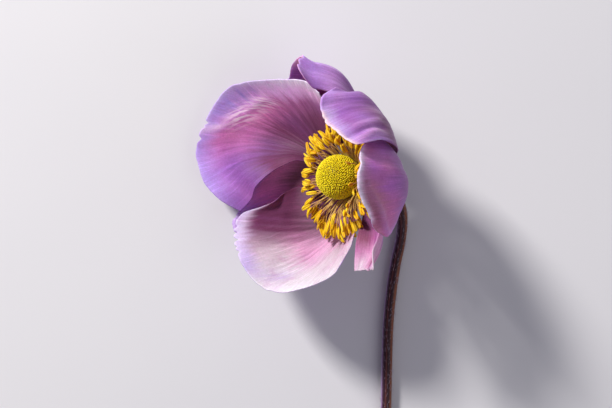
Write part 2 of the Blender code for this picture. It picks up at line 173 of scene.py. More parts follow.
# Each face of a tepal is painted from rows of colours that run across the blade,
# low margin first, at these places from claw to rim.  One word fills a whole row.
STATIONS = (0, 0.35, 0.6, 0.75, 0.88, 1.0)
ROW_LENGTH = 7
PAINT_STREAKS = ((0.035, 34), (0.02, 80))  # reach along the blade, waves over half its width
PLAIN_BACK = (
    "garnet",
    "mauve mauve purple purple purple mauve mauve",
    "purple grape purple purple purple grape purple",
    "grape orchid grape violet grape orchid grape",
    "heather orchid violet orchid violet orchid heather",
    "lilac lilac orchid lilac orchid lilac lilac",
)
PLAIN_INSIDE = (
    "plum",
    "garnet",
    "dusk mauve mauve mauve mauve mauve dusk",
    "mauve magenta magenta magenta magenta magenta mauve",
    "magenta orchid orchid orchid orchid orchid magenta",
    "orchid lilac lilac lilac lilac lilac orchid",
)
FACES = {
    # tepal_left: frost and ice at the start of the rim row are painted light coming through the thin
    # rim
    "tepal_left": ((
        "plum",
        "plum",
        "garnet garnet dusk garnet dusk garnet garnet",
        "mauve berry magenta magenta magenta amethyst amethyst",
        "rose mallow mallow orchid magenta grape purple",
        "frost frost ice bluet bluet bluet grape"), PLAIN_BACK),
    "tepal_back": ((
        "plum",
        "garnet",
        "umber",
        "pink pink pink pink pink magenta magenta",
        "pink pink pink orchid orchid orchid orchid",
        "orchid orchid orchid lilac lilac lilac lilac"), PLAIN_BACK),
    # tepal_lower: plum, garnet and dusk on the low side are painted shadow of tepal_left; frost at the
    # rim's low end is painted light on the out-curled margin
    "tepal_lower": ((
        "plum plum plum umber umber umber plum",
        "plum garnet garnet rose rose umber umber",
        "plum garnet rose rose pearl pearl rose",
        "plum dusk pearl cream cream pearl pearl",
        "garnet dusk pearl cream cream cream pearl",
        "frost frost bluet cream frost cream pearl"), PLAIN_BACK),
    # tepal_folded: plum, dusk and umber near the claw are painted shadow of tepal_right; umber and
    # mauve down the middle are painted shade in its central channel
    "tepal_folded": ((
        "garnet",
        "plum dusk dusk dusk dusk dusk plum",
        "umber umber berry mauve umber umber umber",
        "berry rose rose mauve umber berry berry",
        "rose pearl rose umber mauve rose pearl",
        "rose pearl pearl rose mauve rose pearl"), (
        "garnet",
        "mauve",
        "rose rose orchid mauve orchid rose rose",
        "rose rose rose magenta rose rose rose",
        "pearl rose rose rose rose rose pearl",
        "pearl pearl rose rose rose pearl pearl")),
    "tepal_right": (PLAIN_INSIDE, (
        "garnet",
        "grape purple mauve mauve purple purple grape",
        "orchid grape purple purple purple purple grape",
        "orchid magenta magenta iris magenta iris grape",
        # clay and umber near the rim are painted shade on the turned-down lobe
        "magenta magenta clay clay iris magenta grape",
        "clay clay umber umber rose rose magenta")),
    "tepal_upper": (PLAIN_INSIDE, (
        "garnet",
        "grape purple purple grape grape purple grape",
        "dusk dusk dusk mauve purple purple purple",
        "grape orchid grape purple grape grape purple",
        "grape grape purple grape orchid grape grape",
        "orchid lilac lilac ice wisteria wisteria orchid")),
    # tepal_top: blush at the inner rim is partly painted light on the folded-over edge
    "tepal_top": (PLAIN_INSIDE[:4] + (
        "magenta magenta magenta orchid orchid orchid magenta",
        "blush blush blush orchid orchid orchid blush"), (
        "garnet",
        "mauve purple purple purple purple purple mauve",
        "purple purple violet violet grape purple purple",
        "orchid orchid wisteria wisteria orchid grape purple",
        "grape wisteria wisteria lilac wisteria grape purple",
        "purple wisteria lilac lilac wisteria grape purple")),
}
# Size of a middling tepal laid flat, in which widths on a blade are measured
FLAT_LENGTH = 28.0
FLAT_HALF = 13.0

# Ridges and furrows by tepal and painted face (0 inner, 1 back): a path of (place
# along, place across), width and height in mm, colour and its share.  Some of the
# colours are painted highlights and painted shade, marked where they stand.
CREST = ((1.0, 0.22), (0.92, 0.20), (0.88, 0.16), (0.84, 0.07), (0.81, 0.0),
         (0.80, -0.12), (0.81, -0.24))
BELOW_CREST = tuple((u - 0.07, v + 0.05) for u, v in CREST[2:])
RIDGES = {
    ("tepal_left", 0): (
        # mallow and shell along the crest are a painted highlight
        (CREST, 0.9, 0.2, "mallow", 0.4),
        (CREST[:3], 0.4, 0.0, "shell", 0.9),
        (BELOW_CREST, 2.4, 0.15, "pink", 0.6),
        # mauve in this furrow beside the crest is painted shade
        (((1.0, 0.40), (0.90, 0.38), (0.80, 0.32), (0.70, 0.2)), 1.8, -0.18, "mauve", 0.15),
        (((0.99, 0.12), (0.94, 0.02), (0.91, -0.12)), 1.9, -0.08, "bluet", 0.85),
        (((0.98, 0.66), (0.8, 0.62), (0.6, 0.5)), 2.4, 0.2, "violet", 0.2),
    ),
    ("tepal_lower", 0): (
        (((1.0, -0.36), (0.88, -0.34), (0.76, -0.2), (0.66, -0.1)), 1.8, 0.4, "pearl", 0.3),
        # painted shadow of tepal_left: garnet and plum strokes darken the low side near the stamens
        (((0.88, -0.9), (0.86, -0.74), (0.80, -0.62), (0.70, -0.56), (0.58, -0.52)),
         1.6, 0.0, "garnet", 0.8),
        (((0.8, -0.9), (0.7, -0.76), (0.5, -0.6), (0.36, -0.45)), 3.0, 0.0, "garnet", 0.75),
        (((0.62, -0.72), (0.5, -0.58), (0.36, -0.42)), 2.2, 0.0, "plum", 0.85),
        (((0.98, -0.2), (0.9, -0.05), (0.82, 0.05)), 1.3, -0.15, "bluet", 0.3),
        (((1.0, 0.12), (0.8, 0.08), (0.6, 0.05)), 2.2, -0.2, "orchid", 0.12),
        (((0.95, 0.5), (0.75, 0.45), (0.55, 0.4)), 2.0, 0.25, "cream", 0.3),
    ),
    # umber in the middle furrow: painted shade in the crease
    ("tepal_folded", 0): ((((0.98, 0.1), (0.75, 0.1), (0.5, 0.1)), 0.9, -0.45, "umber", 0.6),),
    ("tepal_right", 1): (
        (((1.0, 0.32), (0.95, 0.1), (0.9, -0.18), (0.87, -0.5), (0.85, -0.85)),
         1.0, -0.45, "orchid", 0.5),
        # umber: painted shade on the lower lobe, which turns down away from the light
        (((0.96, 0.15), (0.94, -0.2), (0.93, -0.6)), 1.4, 0.0, "umber", 0.85),
        (((0.9, 0.55), (0.6, 0.4), (0.3, 0.3)), 2.0, 0.25, "mauve", 0.2),
    ),
    ("tepal_upper", 1): (
        # blush and rose along the folds near the low margin are painted highlights
        (((0.92, -0.8), (0.85, -0.78), (0.72, -0.7)), 1.1, -0.4, "blush", 0.3),
        (((0.86, -0.5), (0.76, -0.5), (0.66, -0.45)), 1.2, -0.35, "rose", 0.25),
        (((0.95, -0.62), (0.8, -0.62), (0.65, -0.6)), 1.1, 0.35, "purple", 0.4),
        (((0.95, 0.3), (0.8, 0.25), (0.6, 0.1)), 1.8, 0.3, "purple", 0.2),
    ),
    ("tepal_top", 1): (
        (((0.98, -0.1), (0.8, 0.1), (0.55, 0.2)), 1.4, -0.35, "lilac", 0.3),
        (((0.9, -0.35), (0.7, -0.2), (0.5, -0.1)), 1.2, 0.25, "purple", 0.3),
    ),
    ("tepal_back", 0): ((((1.0, 0.3), (0.8, 0.3), (0.6, 0.3)), 2.0, 0.3, "mauve", 0.2),),
}
# Margins that are edged with another colour, by tepal and face: the side or rim of
# the blade (-1 low margin, 0 rim), from and to along it, width in mm, colour, share.
# The pale edges are painted edge light on the thin rims, on tepal_right together with
# its pale folded-over lip; the plum low margin of tepal_lower is painted shade.
EDGES = {
    ("tepal_left", 0): ((0, -0.8, 0.3, 0.5, "ice", 0.5), (0, 0.3, 1.0, 0.4, "lilac", 0.3)),
    # tepal_lower: plum is painted shade along the low margin; ice and cream are painted edge light on
    # the rim
    ("tepal_lower", 0): (
        (-1, 0.0, 0.9, 0.7, "plum", 0.9),
        (0, -1.0, -0.2, 1.4, "ice", 0.9),
        (0, -0.2, 1.0, 0.7, "cream", 0.5),
    ),
    # plum on the back: painted shade along the low margin
    ("tepal_lower", 1): ((-1, 0.0, 0.9, 0.7, "plum", 0.9),),
    # frost: the pale folded-over lip, with painted edge light
    ("tepal_right", 1): ((0, -0.6, 0.9, 0.9, "frost", 0.95),),
    ("tepal_upper", 1): ((0, -1.0, 0.2, 0.5, "peach", 0.8), (-1, 0.7, 1.0, 0.5, "ice", 0.5)),
    ("tepal_folded", 0): ((0, -1.0, 1.0, 0.6, "pearl", 0.5),),
    ("tepal_top", 1): ((0, -1.0, 1.0, 0.5, "lilac", 0.4),),
}
RIDGE_PAINT_WIDTH = 1.1  # paint of a ridge is this much wider than the ridge
EDGE_FADE = 0.1  # share of a margin over which its paint fades at its ends

# Painted highlight: fine bright streaks painted over the crest of one tepal
HIGHLIGHT_TEPAL = "tepal_left"
HIGHLIGHT_PATH = tuple((u - 0.015, v - 0.02) for u, v in CREST[3:])  # the middle of their zone
HIGHLIGHT_WIDTH = 1.6  # half of the zone's, in mm
HIGHLIGHT_TURN = 38  # off the blade's width, in degrees
HIGHLIGHT_WAVES = (0.22, 1.35, 1)  # per mm along and across the streaks
HIGHLIGHT_RANGE = (0.43, 0.60)  # heights of the noise that shine
HIGHLIGHT_COLOUR = (255, 228, 244)
HIGHLIGHT_SHARE = 0.9
HIGHLIGHT_BLADE = (56, 35, 1)  # width and length of that tepal laid flat, in mm

# Texture of a petal.  Veins are noise drawn out along the blade: waves across it and
# along it.  Grain, mottle, cells and warp are waves per metre.
COARSE_VEINS = (52, 3.2, 1)
FINE_VEINS = (150, 6.5, 1)
WARP, MOTTLE, GRAIN, CELLS = 130, 320, 2600, 5200
WARP_DEPTH = 0.05  # sideways, as a share of the blade's width
VEIN_DEPTH, GRAIN_DEPTH, CELL_DEPTH = 0.11, 0.05, 0.03  # in mm
VEIN_INSIDE = ((170, 96, 140), 0.42)
VEIN_BACK = ((182, 116, 168), 0.40)
VEIN_RANGE = (0.49, 0.66)  # heights of the pattern that are veins,
PALE_RANGE = (0.47, 0.36)  # and those that are pale stripes between them
VEIN_FADE = (0.92, 0.45)  # place along the blade where veins are weak, and full
VEINS_AT_RIM = 0.3
PALE_SHARE = 0.3
# Factors of the paint in the stripes, the grain and the mottle
PALE_FACTOR = (1.9, 1.8, 1.9)
GRAIN_FACTOR = (1.13, 1.12, 1.15)
MOTTLE_FACTOR = (0.92, 0.80, 0.90)

# Looks of the grained pieces: roughness, grain in waves per metre and its depth in
# mm, the darker colour of its spots and their share, sheen, light under the surface
GRAINED = {
    "carpels": (0.5, 2600, 0.03, (140, 108, 4), 0.4, 0.1, 0.1),
    "filaments": (0.5, 900, 0.02, (150, 110, 70), 0.35, 0.0, 0.1),
    "anthers": (0.55, 3200, 0.05, (198, 130, 4), 0.3, 0.1, 0.1),
    "stem skin": (0.45, 1400, 0.05, (44, 24, 34), 0.35, 0.2, 0.0),
    "silky hair": (0.35, 500, 0.0, (150, 120, 150), 0.3, 0.4, 0.0),
}

# The stem's centre line, as in the solids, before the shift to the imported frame
STEM_ROUTE = (
    (14.6, 5.0, 8.8), (17.6, 3.2, 5.4), (19.4, 0.2, 2.7), (20.1, -3.2, 0.9),
    (19.8, -7.5, 0.1), (18.7, -13, -0.1), (17.7, -20, -0.1), (17.1, -28, -0.1),
    (16.8, -42, -0.1), (16.6, -56, -0.1), (16.6, -70, -0.1),
)
# Colours across the stem, from -1 at its low X side to 1 at its high X side: a dark plum skin with
# painted edge light, pale violet on the low X edge and warm brown towards the high X edge
STEM_PAINTED_LIGHT_BANDS = (
    (-0.95, (186, 158, 206)), (-0.84, (112, 78, 116)), (-0.6, (58, 28, 42)),
    (-0.35, (58, 28, 38)), (-0.22, (116, 68, 62)), (-0.05, (62, 32, 40)),
    (0.4, (52, 26, 34)), (0.62, (128, 76, 56)), (0.85, (140, 84, 60)), (1.0, (92, 54, 52)),
)
STEM_RADIUS = 1.15
RECEPTACLE_RADIUS = 1.55
SWELLING = 2.6  # length of the receptacle
STEM_TOP = 1.2  # height of the receptacle's top along the axis
NECK = -1.0  # height at which the stem leaves the axis
STEM_SIDES, STEM_STEPS = 40, 260
STEM_GROOVES = 7
GROOVE_DEPTH = 0.035  # as a share of the radius
HAIRS = 1500  # less those that would reach the floor
HAIR_LENGTHS = (0.5, 1.1)
HAIR_COLOUR = (196, 176, 206)
HAIR_SKIN = 0.96  # share of the radius at which a hair is rooted
HAIR_RADII = (0.022, 0.016, 0.004)
LOWEST_HAIR = 0.0001  # in m

# Rows of stamens, outer, middle and inner: reach and rise of the filament's tip, and
# reach and rise of its knee
STAMENS = 168
STAMEN_ROWS = ((9.7, 5.1, 6.3, 3.9), (8.6, 6.2, 5.9, 4.4), (7.3, 7.2, 5.5, 4.9))
STAMEN_ROOT = (3.5, 2.4)
LOPSIDED = 0.8  # how far the ring hangs to its low side
FILAMENT_SIDES, FILAMENT_STEPS = 6, 12
FILAMENT_RADII = (0.13, 0.085)
FILAMENT_ROOT, FILAMENT_TIP = (214, 190, 96), (216, 160, 96)
ANTHER_STEPS = 10
ANTHER_LENGTHS, ANTHER_WIDTHS = (1.9, 2.8), (0.34, 0.46)
# Section of an anther, as shares of its width round it: two lobes and a furrow
LOBES = np.array((0.34, 0.8, 1.12, 0.95, 0.62, 0.5, 0.62, 0.95, 1.12, 0.8))
GOLDS = ((250, 208, 14), (255, 220, 40), (244, 192, 8), (248, 202, 8))
RUST = (176, 104, 4)
# Profile of the saucer that carries the stamens: reach and rise
SAUCER = ((0, 2.3), (3.0, 2.3), (4.0, 2.75), (4.3, 2.65), (4.2, 2.3), (2.9, 1.5), (0, 1.5))
SAUCER_SIDES = 48
SAUCER_COLOUR = (176, 164, 72)

# Carpels: small cones with rings of (height over the core, radius) and a point
CARPELS = 1900  # over the whole globe, less those of its bare underside
CARPEL_SIDES = 6
CARPEL_RINGS = ((0.0, 0.185), (0.12, 0.175), (0.23, 0.10))
CARPEL_POINT = 0.30
CARPEL_SIZES = (0.75, 1.2)  # factor of their heights
CARPEL_SCATTER = 0.010
CARPEL_WAY = (0.2, 0.3, 0.93)  # sets how a carpel's sides are turned
CARPEL_FOOT, CARPEL_TIP = (160, 132, 4), (252, 230, 18)
POINT_LIGHT = 1.15  # factor of the tip's colour at the very point
CARPEL_PAINT_TOP = 0.22  # height at which a carpel has its tip's colour
CORE_RADIUS = BOSS_RADIUS - 0.18
CORE_STEPS = 24
CORE_COLOUR = (130, 108, 6)
BARE_BELOW = -0.68  # of the way from the globe's centre to its top

ODD_WAY = (0.31, 0.22, 0.93)  # no tube runs this way; its sides start from it
NOISE_KNOTS = 400

# Lights: name, place from the heart and size in m, watts and colour
LIGHTS = (
    ("key", (-0.40, 0.38, 0.38), 0.12, 5.6, (1.0, 0.98, 0.95)),
    ("fill", (0.5, -0.3, 0.5), 0.6, 1.3, (0.92, 0.90, 1.0)),
)
WORLD_COLOUR = (0.86, 0.88, 1.0, 1.0)
WORLD_STRENGTH = 0.24
FLOOR_COLOURS = (226, 224, 226), (214, 212, 216)
FLOOR_SIZE = 3.0
FLOOR_GAP = 0.0002  # in m, below the flower
CAMERA_RISE = 0.356  # in m
LENS = 100  # mm, on a 36 mm sensor


# --- helpers

def linear(colour):
    """Linear RGB of an sRGB colour given as 0-255."""
    return tuple((c / 255 / 12.92) if c <= 10 else ((c / 255 + 0.055) / 1.055) ** 2.4 for c in colour)


def rgb(colour):
    return np.array(linear(colour))


def polar(turn, reach, rise):
    """The point at a turn in degrees round the axis, a reach and a rise."""
    angle = math.radians(turn)
    return np.array((reach * math.cos(angle), reach * math.sin(angle), rise))


def curve_through(points, places):
    """Catmull-Rom curve through the points, read at places between 0 and 1."""
    points = np.asarray(points, float)
    spans = len(points) - 1
    place = np.clip(places, 0, 1) * spans
    span = np.minimum(place.astype(int), spans - 1)
    f = (place - span)[:, None]
    before = 2 * points[0] - points[1]
    after = 2 * points[-1] - points[-2]
    run = np.vstack([before, points, after])
    a, b, c, d = run[span], run[span + 1], run[span + 2], run[span + 3]
    return 0.5 * (2 * b + (c - a) * f + (2 * a - 5 * b + 4 * c - d) * f ** 2
                  + (3 * b - a - 3 * c + d) * f ** 3)


def even_curve(points, steps):
    """steps + 1 points at even distances along the curve through the points."""
    fine = curve_through(points, np.linspace(0, 1, 400))
    lengths = np.linalg.norm(np.diff(fine, axis=0), axis=1)
    run = np.concatenate([[0.0], np.cumsum(lengths)])
    stops = np.linspace(0, run[-1], steps + 1)
    return np.stack([np.interp(stops, run, fine[:, k]) for k in range(3)], axis=1)


def smooth_noise(seed, cells):
    """A smooth random function of one number, about -1 to 1, cells waves per unit."""
    knots = np.random.default_rng(seed).uniform(-1, 1, NOISE_KNOTS)

    def read(x):
        x = np.asarray(x, float) * cells + NOISE_KNOTS / 4
        whole = np.floor(x).astype(int)
        part = x - whole
        part = part * part * (3 - 2 * part)
        return knots[whole % NOISE_KNOTS] * (1 - part) + knots[(whole + 1) % NOISE_KNOTS] * part
    return read


def unit(vector):
    return vector / np.linalg.norm(vector)


def ring_faces(ring, sides, turned=False):
    """Quads between a ring of corners and the next one; turned makes them face back."""
    for s in range(sides):
        a, b = ring * sides + s, ring * sides + (s + 1) % sides
        yield (a, a + sides, b + sides, b) if turned else (a, b, b + sides, a + sides)


def piece(name, mesh, looks, replaced=()):
    """Puts a mesh in the scene as one piece that rides with the flower."""
    made = bpy.data.objects.new(name, mesh)
    bpy.context.scene.collection.objects.link(made)
    for look in looks:
        mesh.materials.append(look)
    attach(made, "root")
    if replaced:
        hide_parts(*replaced)


class Patchwork:
    """Collects vertices, faces and vertex colours of many small shapes."""

    def __init__(self):
        self.points, self.faces, self.colours = [], [], []

    def add(self, points, faces, colours):
        start = len(self.points)
        self.points += [tuple(p) for p in points]
        self.faces += [tuple(start + k for k in face) for face in faces]
        self.colours += [tuple(c) for c in colours]

    def mesh(self, name, matrix):
        mesh = bpy.data.meshes.new(name)
        mesh.from_pydata(self.points, [], self.faces)
        mesh.transform(matrix)
        tint = mesh.color_attributes.new("tint", "FLOAT_COLOR", "POINT")
        flat = np.ones((len(self.points), 4), np.float32)
        flat[:, :3] = np.array(self.colours, np.float32)
        tint.data.foreach_set("color", flat.ravel())
        mesh.shade_smooth()
        return mesh


def tube(points, radii, sides, side=None):
    """Points and faces of a closed tube; its first corner points to side."""
    points = np.asarray(points, float)
    out, faces = [], []
    for k, point in enumerate(points):
        lead = points[min(k + 1, len(points) - 1)] - points[max(k - 1, 0)]
        lead = lead / (np.linalg.norm(lead) + 1e-12)
        if side is None:
            side = np.cross(lead, ODD_WAY)
        side = unit(side - lead * (side @ lead))
        other = np.cross(lead, side)
        for s in range(sides):
            angle = 2 * math.pi * s / sides
            out.append(point + radii[k] * (math.cos(angle) * side + math.sin(angle) * other))
    for k in range(len(points) - 1):
        faces += ring_faces(k, sides)
    faces.append(tuple(reversed(range(sides))))
    faces.append(tuple(range((len(points) - 1) * sides, len(points) * sides)))
    return out, faces


# --- materials

class Graph:
    """A material's node tree, with a short way to add and join nodes."""

    def __init__(self, name, roughness, sheen=0.0, subsurface=0.0):
        self.material = bpy.data.materials.new(name)
        self.material.use_nodes = True
        self.nodes = self.material.node_tree.nodes
        self.shader = self.nodes["Principled BSDF"]
        self.shader.inputs["Roughness"].default_value = roughness
        self.shader.inputs["Sheen Weight"].default_value = sheen
        self.shader.inputs["Sheen Roughness"].default_value = 0.4
        self.shader.inputs["Subsurface Weight"].default_value = subsurface
        self.shader.inputs["Subsurface Radius"].default_value = (1.0, 0.5, 0.7)
        self.shader.inputs["Subsurface Scale"].default_value = 1.2 * MM
        self.shader.inputs["Specular IOR Level"].default_value = 0.22

    def node(self, kind, **settings):
        made = self.nodes.new(kind)
        for key, value in settings.items():
            setattr(made, key, value)
        return made

    def join(self, source, target):
        self.material.node_tree.links.new(source, target)

    def maths(self, operation, first, second):
        made = self.node("ShaderNodeMath", operation=operation)
        for slot, value in ((0, first), (1, second)):
            if isinstance(value, (int, float)):
                made.inputs[slot].default_value = value
            else:
                self.join(value, made.inputs[slot])
        return made.outputs[0]

    def noise(self, vector, scale, detail, roughness=0.5):
        made = self.node("ShaderNodeTexNoise")
        made.inputs["Scale"].default_value = scale
        made.inputs["Detail"].default_value = detail
        made.inputs["Roughness"].default_value = roughness
        self.join(vector, made.inputs["Vector"])
        return made.outputs["Fac"]

    def mapped(self, vector, **settings):
        """The vector with a Location, Rotation or Scale."""
        made = self.node("ShaderNodeMapping")
        for name, value in settings.items():
            made.inputs[name].default_value = value
        self.join(vector, made.inputs["Vector"])
        return made.outputs["Vector"]

    def window(self, value, low, high):
        """0 at low, 1 at high, smooth between and level beyond them."""
        made = self.node("ShaderNodeMapRange", interpolation_type="SMOOTHSTEP")
        made.inputs["From Min"].default_value = low
        made.inputs["From Max"].default_value = high
        self.join(value, made.inputs["Value"])
        return made.outputs["Result"]

    def mix(self, share, first, second, blend="MIX"):
        made = self.node("ShaderNodeMix", data_type="RGBA", blend_type=blend)
        for slot, value in (("Factor", share), ("A", first), ("B", second)):
            target = next(s for s in made.inputs if s.name == slot and s.enabled)
            if isinstance(value, tuple):
                target.default_value = (*value, 1.0)
            else:
                self.join(value, target)
        return next(s for s in made.outputs if s.enabled)

    def bump(self, height, depth, strength, below=None):
        """A normal from heights; depth is in mm."""
        made = self.node("ShaderNodeBump")
        made.inputs["Distance"].default_value = depth * MM
        made.inputs["Strength"].default_value = strength
        self.join(height, made.inputs["Height"])
        if below is not None:
            self.join(below, made.inputs["Normal"])
        return made.outputs["Normal"]

    def tint(self):
        return self.node("ShaderNodeVertexColor", layer_name="tint").outputs["Color"]


def vein_pattern(g, blade, where):
    """Coarse and fine veins along the blade, a little bent, as a height of 0 to 1."""
    warp = g.node("ShaderNodeCombineXYZ")
    g.join(g.maths("MULTIPLY", g.noise(where, WARP, 1.0), WARP_DEPTH), warp.inputs["X"])
    bent = g.node("ShaderNodeVectorMath", operation="ADD")
    g.join(blade, bent.inputs[0])
    g.join(warp.outputs["Vector"], bent.inputs[1])
    coarse = g.noise(g.mapped(bent.outputs["Vector"], Scale=COARSE_VEINS), 1.0, 3.0, 0.6)
    fine = g.noise(g.mapped(bent.outputs["Vector"], Scale=FINE_VEINS), 1.0, 2.0, 0.6)
    return g.maths("ADD", g.maths("MULTIPLY", coarse, 0.5), g.maths("MULTIPLY", fine, 0.5))


def with_painted_highlight(g, colour, blade):
    """The colour with a painted highlight of fine bright streaks where the mesh carries its mask."""
    turned = g.mapped(blade, Scale=HIGHLIGHT_BLADE, Rotation=(0, 0, -math.radians(HIGHLIGHT_TURN)))
    streaks = g.noise(g.mapped(turned, Scale=HIGHLIGHT_WAVES), 1.0, 2.0, 0.5)
    painted_highlight = g.node("ShaderNodeAttribute", attribute_name="painted_highlight").outputs["Fac"]
    shine = g.maths("MULTIPLY", g.window(streaks, *HIGHLIGHT_RANGE), painted_highlight)
    return g.mix(g.maths("MULTIPLY", shine, HIGHLIGHT_SHARE), colour, linear(HIGHLIGHT_COLOUR))


def petal_material(name, seed, vein_colour, vein_strength):
    """Painted petal with veins that run from the claw and fade towards the rim."""
    g = Graph(name, roughness=0.52, sheen=0.12, subsurface=0.2)
    place = g.node("ShaderNodeUVMap", uv_map="blade").outputs["UV"]
    where = g.node("ShaderNodeTexCoord").outputs["Object"]
    split = g.node("ShaderNodeSeparateXYZ")
    g.join(place, split.inputs[0])
    blade = g.mapped(place, Location=(seed * 1.7, seed * 0.9, 0))
    pattern = vein_pattern(g, blade, where)
    grain = g.noise(where, GRAIN, 3.0, 0.7)

    fade = g.maths("MULTIPLY", g.window(split.outputs["Y"], *VEIN_FADE), 1 - VEINS_AT_RIM)
    veins = g.maths("MULTIPLY", g.window(pattern, *VEIN_RANGE), g.maths("ADD", fade, VEINS_AT_RIM))
    colour = g.mix(g.maths("MULTIPLY", veins, vein_strength), g.tint(), linear(vein_colour), "MULTIPLY")
    pale = g.maths("MULTIPLY", g.window(pattern, *PALE_RANGE), PALE_SHARE)
    colour = g.mix(pale, colour, PALE_FACTOR, "MULTIPLY")
    colour = g.mix(g.window(grain, 0.35, 0.65), colour, GRAIN_FACTOR, "MULTIPLY")
    mottle = g.window(g.noise(where, MOTTLE, 3.0), 0.5, 0.75)
    colour = g.mix(mottle, colour, MOTTLE_FACTOR, "MULTIPLY")
    # base colour, with the painted highlight streaks over the crest
    g.join(with_painted_highlight(g, colour, blade), g.shader.inputs["Base Color"])

    normal = g.bump(pattern, VEIN_DEPTH, 0.5)
    normal = g.bump(grain, GRAIN_DEPTH, 0.5, below=normal)
    normal = g.bump(g.noise(where, CELLS, 1.0), CELL_DEPTH, 0.5, below=normal)
    g.join(normal, g.shader.inputs["Normal"])
    return g.material


def grained_material(name):
    """Vertex-painted surface with fine grain in its colour and its height."""
    roughness, grain, depth, darker, share, sheen, subsurface = GRAINED[name]
    g = Graph(name, roughness, sheen, subsurface)
    where = g.node("ShaderNodeTexCoord").outputs["Object"]
    spots = g.noise(where, grain, 3.0, 0.6)
    colour = g.mix(g.maths("MULTIPLY", g.window(spots, 0.42, 0.7), share), g.tint(), linear(darker))
    g.join(colour, g.shader.inputs["Base Color"])
    g.join(g.bump(spots, depth, 0.6), g.shader.inputs["Normal"])
    return g.material


def floor_material():
    g = Graph("pale table", 0.75)
    where = g.node("ShaderNodeTexCoord").outputs["Object"]
    clouds = g.noise(where, 9.0, 3.0)
    g.join(g.mix(clouds, *map(linear, FLOOR_COLOURS)), g.shader.inputs["Base Color"])
    return g.material


# --- tepals

def tepal_surface(plan):
    """The blade's middle surface as a grid of points in mm, claw to rim."""
    along, across = plan["along"], plan["across"]
    claw = [polar(plan["turn"] + side * CLAW_TURN, CLAW_REACH, plan["level"]) for side in (-1, 0, 1)]
    rim = [polar(*point) for point in plan["rim"]]
    low = [claw[0]] + [polar(*point) for point in plan["low"]] + [rim[0]]
    mid = [claw[1]] + [polar(*point) for point in plan["mid"]]
    high = [claw[2]] + [polar(*point) for point in plan["high"]] + [rim[-1]]
    low, mid, high = (even_curve(line, along)[:, None] for line in (low, mid, high))
    rim = even_curve(rim, across)[None]
    u = np.linspace(0, 1, along + 1)[:, None, None]
    v = np.linspace(-1, 1, across + 1)[None, :, None]
    grid = low * v * (v - 1) / 2 + mid * (1 - v * v) + high * v * (v + 1) / 2
    return grid + u ** REACH_OF_RIM * (rim - grid[-1:])


def cut_notches(grid, notches, seed):
    """Draws the rim in at each notch, and frays it a little all along."""
    along, across = grid.shape[0] - 1, grid.shape[1] - 1
    v = np.linspace(-1, 1, across + 1)
    u = np.linspace(0, 1, along + 1)
    length = np.linalg.norm(np.diff(grid, axis=0), axis=2).sum(axis=0)
    depth = sum(size * (1 + smooth_noise(seed + k, waves)(v))
                for k, (size, waves) in enumerate(RIM_FRAY))
    for place, size, width in notches:
        depth = depth + size * np.exp(-((v - place) / width) ** 2)
    cut = grid.copy()
    for column in range(across + 1):
        stops = u * (1 - depth[column] / length[column] * u ** 6)
        cut[:, column] = curve_through(grid[:, column], stops)
    return cut


def surface_normals(grid):
    """Unit normals of a grid, towards the inner face."""
    normal = np.cross(np.gradient(grid, axis=0), np.gradient(grid, axis=1))
    return normal / (np.linalg.norm(normal, axis=2, keepdims=True) + 1e-12)


def distance_to_path(u, v, path):
    """Distance in mm of every place of the blade, laid flat, from a path on it."""
    scale = np.array((FLAT_LENGTH, FLAT_HALF))
    here = np.stack([u, v], axis=-1) * scale
    path = np.array(path, float) * scale
    nearest = np.full(u.shape, np.inf)
    for start, end in zip(path, path[1:]):
        step = end - start
        share = np.clip((here - start) @ step / (step @ step), 0, 1)
        off = here - start - share[..., None] * step
        nearest = np.minimum(nearest, np.linalg.norm(off, axis=-1))
    return nearest


def relief(name, plan, u, v, seed):
    """Height of ridges, waves and ribs over the blade, in mm."""
    height = np.zeros(u.shape)
    for path, width, size, _, _ in RIDGES.get((name, 0), ()) + RIDGES.get((name, 1), ()):
        height += size * np.exp(-(distance_to_path(u, v, path) / width) ** 2)
    wave = smooth_noise(seed + 2, 5)(v + 0.25 * smooth_noise(seed + 3, 3)(u))
    height += plan["flute"] * wave * u ** 1.5
    ribs = smooth_noise(seed + 4, RIB_WAVES)(v + 0.02 * u)
    height += RIB_HEIGHT * ribs * np.minimum(1, 3 * u)
    return height * np.minimum(1, 6 * u)


def laid_over(colour, word, cover):
    """The colour under another one that covers a share of it at every place."""
    cover = cover[..., None]
    return colour * (1 - cover) + rgb(PALETTE[word]) * cover


def zone_paint(name, side, u, v, seed):
    """Linear RGB of the rows of colours, with streaked borders between them."""
    rows = [row.split() for row in FACES[name][side]]
    rows = [row * ROW_LENGTH if len(row) == 1 else row for row in rows]
    paint = np.array([[rgb(PALETTE[word]) for word in row] for row in rows])
    streak = sum(size * smooth_noise(seed + 5 + k, waves)(v)
                 for k, (size, waves) in enumerate(PAINT_STREAKS))
    along = np.interp(u + streak * (1 - u ** 8), STATIONS, range(len(STATIONS)))
    across = (v + 1 + 0.06 * smooth_noise(seed + 7, 6)(u)) / 2 * (ROW_LENGTH - 1)
    i = np.clip(along.astype(int), 0, len(STATIONS) - 2)
    j = np.clip(across.astype(int), 0, ROW_LENGTH - 2)
    p = np.clip(along - i, 0, 1)[..., None]
    q = np.clip(across - j, 0, 1)[..., None]
    return ((paint[i, j] * (1 - q) + paint[i, j + 1] * q) * (1 - p)
            + (paint[i + 1, j] * (1 - q) + paint[i + 1, j + 1] * q) * p)


